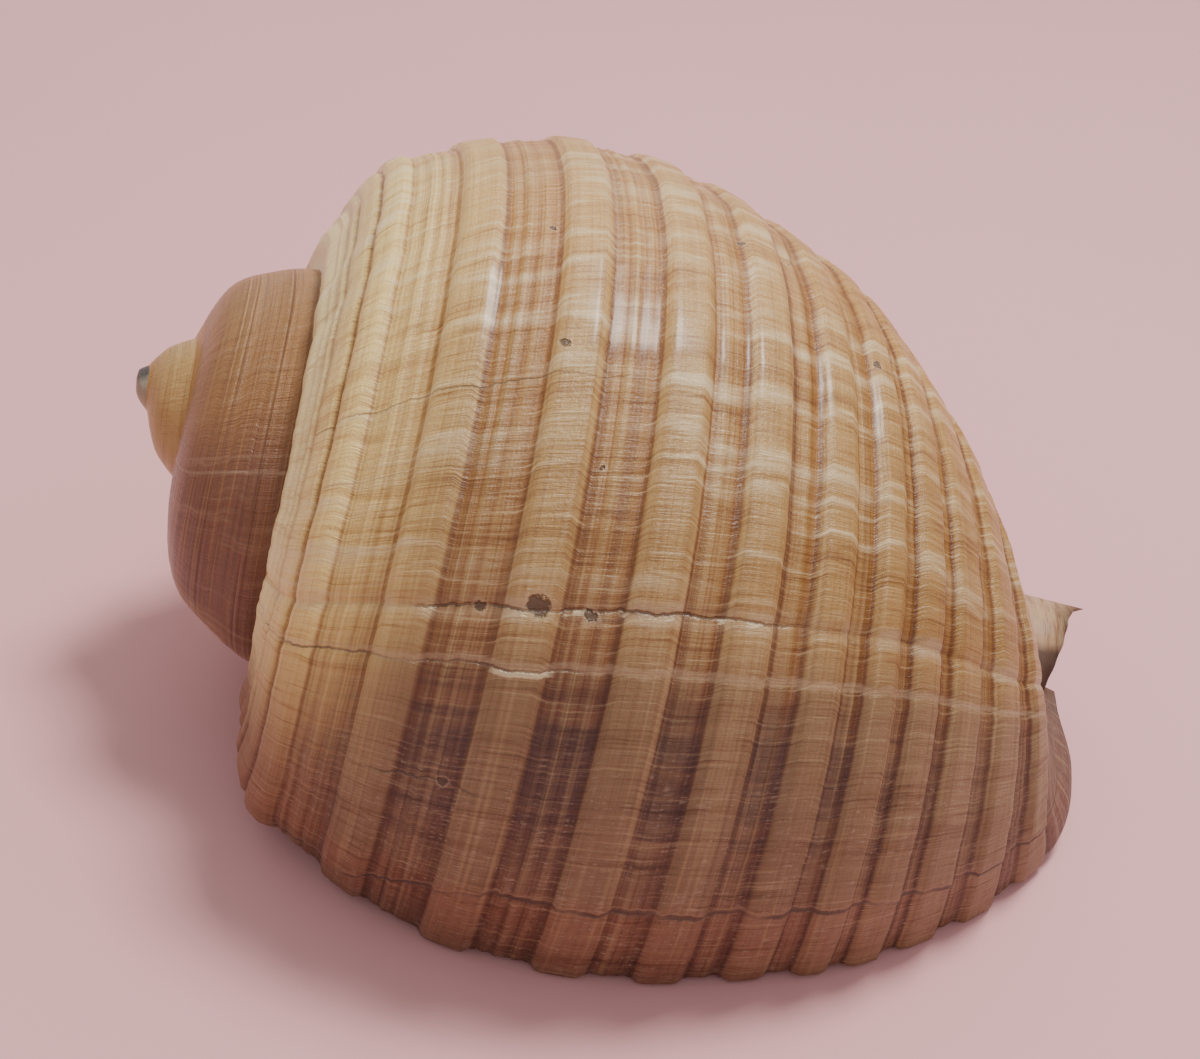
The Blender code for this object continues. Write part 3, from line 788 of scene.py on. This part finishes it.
broken = ramp_up(tree, grain(tree, spot, (0.09, 0.02), 71.0, 2.0, 0.5), 0.40, 0.56)
patches = times(tree, broken, math_of(tree, "MULTIPLY_ADD", rib, 0.6, 0.3))
pale_band = times(tree, beside(tree, pauses[2][0], -1.8, 2.0, 0.36), patches)
colour = layer(tree, pale_band, colour, (0.60, 0.48, 0.34, 1.0))
colour = layer(tree, beside(tree, pauses[1][0], -1.2, 0.4, 0.26), colour,
               (0.56, 0.42, 0.29, 1.0))
colour = layer(tree, beside(tree, pauses[0][0], -0.8, 0.0, 0.34), colour,
               (0.42, 0.29, 0.20, 1.0))
# Which pause, how far across it shows (mm) and how strongly.
rows_of = ((0, 10.0, 210.0, 0.85), (1, 12.0, 66.0, 0.65), (2, 44.0, 100.0, 0.72),
           (3, 16.0, 66.0, 0.45), (4, 20.0, 60.0, 0.20), (5, 38.0, 56.0, 0.60))
dark_lines = 0.0
for k, low, high, strength in rows_of:
    away, width = pauses[k]
    line = ramp_up(tree, math_of(tree, "ABSOLUTE", away), width * 1.8, width * 0.6, strength)
    line = times(tree, line, math_of(tree, "MULTIPLY_ADD", broken, 0.6, 0.4))
    line = times(tree, line, between(tree, across, low, high, 4.0, 6.0))
    dark_lines = math_of(tree, "MAXIMUM", line, dark_lines)
colour = layer(tree, dark_lines, colour, (0.060, 0.030, 0.022, 1.0))

# Pits: where they are and their radius, in metres.
spots = (((-0.0128, -0.0561, 0.0699), 0.0019), ((-0.0211, -0.0546, 0.0674), 0.0010),
         ((-0.0053, -0.0554, 0.0686), 0.0011), ((-0.0238, -0.0620, 0.0402), 0.0009),
         ((-0.0135, -0.0295, 0.0973), 0.0009), ((-0.0173, -0.0080, 0.1043), 0.0006),
         ((0.0119, 0.0017, 0.1007), 0.0005), ((0.0199, 0.0039, 0.0969), 0.0006),
         ((0.0348, -0.0098, 0.0885), 0.0007), ((-0.0061, -0.0428, 0.0852), 0.0006))
object_place = tree.nodes.new("ShaderNodeTexCoord").outputs["Object"]
ragged = sway(tree, wire(tree, "TexNoise", object_place, None, 700.0, 3.0), 0.0022)
pits = 0.0
rings = 0.0
for middle, radius in spots:
    away = tree.nodes.new("ShaderNodeVectorMath")
    away.operation = "DISTANCE"
    tree.links.new(object_place, away.inputs[0])
    away.inputs[1].default_value = middle
    away = math_of(tree, "ADD", away.outputs["Value"], ragged)
    pits = math_of(tree, "MAXIMUM", ramp_up(tree, away, radius, radius * 0.7), pits)
    rings = math_of(tree, "MAXIMUM", ramp_up(tree, away, radius * 1.7, radius * 1.1), rings)

# Chips: pale lime where the edges of two growth pauses have flaked off.
flakes = grain(tree, spot, (0.13, 0.20), 83.0, 4.0, 0.65)
chips = 0.0
for pause, low, high, cover in ((2, 54.0, 98.0, 0.52), (1, 57.5, 64.5, 0.40)):
    flaked = times(tree, beside(tree, pauses[pause][0], 0.0, 0.9, 0.8),
                   ramp_up(tree, flakes, cover, cover + 0.07))
    flaked = times(tree, flaked, between(tree, across, low, high, 2.0, 2.0))
    chips = math_of(tree, "MAXIMUM", flaked, chips)
colour = layer(tree, times(tree, rings, 0.22), colour, (0.60, 0.46, 0.32, 1.0))
colour = layer(tree, times(tree, chips, 0.75), colour, (0.72, 0.60, 0.40, 1.0))
colour = layer(tree, times(tree, pits, 0.85), colour, (0.060, 0.032, 0.020, 1.0))
colour = wire(tree, "HueSaturation", 0.5, 1.17, 0.96, 1.0, colour)

# Height for the bumps, and the gloss, which the late growth has lost.
pebbled = grain(tree, spot, (2.0, 1.3), 91.0, 2.0, 0.6)
height = 0.0
for value, share in ((at["Lines"], 0.70), (times(tree, at["Bands"], early), 2.2), (thread, 0.45),
                     (pebbled, 0.40), (at["Thread"], 1.30), (mesh, 0.20), (dark_lines, -0.9),
                     (pits, -2.6), (chips, 0.35)):
    height = math_of(tree, "MULTIPLY_ADD", value, share, height)
shine = wire(tree, "MapRange", at["Lines"], 0.3, 0.7, 0.19, 0.40)
shine = math_of(tree, "MULTIPLY_ADD", late, 0.12, shine)
shine = math_of(tree, "MULTIPLY_ADD", at["Patches"], 0.10, shine)
surface = dress(tree, colour, shine, wire(tree, "Bump", 0.70, 0.00048, None, height))
tree.links.new(times(tree, early, 0.22), surface.inputs["Coat Weight"])
surface.inputs["Coat Roughness"].default_value = 0.20

# The inside's look.
# Porcelain-like lime: cream to fawn deep inside, browner towards the lip, with
# faint growth lines. The lip's worn edge shows the brown lime of the wall.
inside.use_nodes = True
tree = inside.node_tree
at = growth_node(tree)
colour = paints(tree, at["Degrees"], -360.0, 10.0, (
    (-350.0, (0.44, 0.33, 0.23)), (-120.0, (0.50, 0.38, 0.26)), (-40.0, (0.42, 0.29, 0.19)),
    (-12.0, (0.24, 0.130, 0.085)), (3.0, (0.150, 0.066, 0.048))))
for value, low, high, top, over in (
        (at["Patches"], 0.42, 0.66, 0.40, (0.58, 0.46, 0.34, 1.0)),
        (at["Lines"], 0.50, 0.68, 0.22, (0.25, 0.14, 0.09, 1.0)),
        (at["Across"], 150.0, 205.0, 0.55, (0.62, 0.52, 0.40, 1.0)),
        (at["Across"], 290.0, 298.0, 1.0, (0.40, 0.28, 0.20, 1.0))):
    colour = layer(tree, ramp_up(tree, value, low, high, top), colour, over)
height = times(tree, at["Lines"], 0.4)
dress(tree, colour, wire(tree, "MapRange", at["Patches"], 0.3, 0.7, 0.24, 0.36),
      wire(tree, "Bump", 0.35, 0.0003, None, height))

# The columella's look.
# Thick satin lime with fine growth lines, tan outside and on the beak's rim, and
# dark brown painted shade on the beak's lower, shadowed part.
core.use_nodes = True
tree = core.node_tree
place_of = tree.nodes.new("ShaderNodeTexCoord").outputs["Object"]
cloud = wire(tree, "TexNoise", place_of, None, 90.0, 4.0)
flecks = wire(tree, "TexNoise", place_of, None, 420.0, 4.0)
colour = layer(tree, ramp_up(tree, cloud, 0.40, 0.62), (0.27, 0.145, 0.070, 1.0),
               (0.38, 0.225, 0.115, 1.0))
fine_lines = grain(tree, place_of, (850.0, 110.0), 5.0, 4.0, 0.65)
colour = layer(tree, ramp_up(tree, fine_lines, 0.50, 0.62, 0.55), colour,
               (0.42, 0.24, 0.14, 1.0), "MULTIPLY")
colour = layer(tree, ramp_up(tree, fine_lines, 0.46, 0.36, 0.30), colour, (0.56, 0.41, 0.25, 1.0))
colour = layer(tree, ramp_up(tree, flecks, 0.52, 0.66, 0.3), colour, (0.30, 0.17, 0.10, 1.0))
# Painted shade: the beak's end, below a wavy height and past about 0.07 m in x, is darkened to
# dark brown where it lies in shadow.
high = tree.nodes.new("ShaderNodeSeparateXYZ")
tree.links.new(place_of, high.inputs[0])
level = math_of(tree, "MULTIPLY_ADD", cloud, 0.004, high.outputs[2])
beak_painted_shade = times(tree, ramp_up(tree, level, 0.0312, 0.0298, 0.92),
               ramp_up(tree, high.outputs[0], 0.070, 0.076))
colour = layer(tree, beak_painted_shade, colour, (0.080, 0.038, 0.024, 1.0))
dress(tree, colour, wire(tree, "MapRange", cloud, 0.3, 0.7, 0.42, 0.56),
      wire(tree, "Bump", 0.6, 0.0005, None, fine_lines))

# The floor: a plain pale table top of painted board.
bm = bmesh.new()
bmesh.ops.create_grid(bm, x_segments=1, y_segments=1, size=6.0)
floor = make_object("floor", bm)
pale = bpy.data.materials.new("floor_pale")
pale.use_nodes = True
tree = pale.node_tree
place_of = tree.nodes.new("ShaderNodeTexCoord").outputs["Object"]
cloud = wire(tree, "TexNoise", place_of, None, 6.0, 3.0)
dress(tree, layer(tree, cloud, (0.63, 0.318, 0.315, 1.0), (0.67, 0.342, 0.339, 1.0)),
      wire(tree, "MapRange", cloud, 0.3, 0.7, 0.70, 0.80))
floor.data.materials.append(pale)

# Soft light from high on the right, and a pale surround.
world = bpy.data.worlds.new("surround")
bpy.context.scene.world = world
world.use_nodes = True
world.node_tree.nodes["Background"].inputs["Color"].default_value = (0.95, 0.93, 0.95, 1.0)
world.node_tree.nodes["Background"].inputs["Strength"].default_value = 0.84
lamp = bpy.data.lights.new("key", "AREA")
lamp.energy = 10.5
lamp.size = 0.24
key = bpy.data.objects.new("key", lamp)
key.location = (0.20, 0.14, 0.92)
towards = Vector((0.0, 0.0, 0.05)) - Vector(key.location)
key.rotation_euler = towards.to_track_quat("-Z", "Y").to_euler()
bpy.context.scene.collection.objects.link(key)

# The camera, where the photograph was taken from.
view = bpy.data.cameras.new("camera")
view.sensor_width = 36.0
view.lens = 60.28
view.clip_start = 0.01
camera = bpy.data.objects.new("camera", view)
camera.location = (-0.01037, -0.28059, 0.24054)
camera.rotation_euler = (math.radians(54.917), math.radians(-5.992), math.radians(2.969))
bpy.context.scene.collection.objects.link(camera)
bpy.context.scene.camera = camera
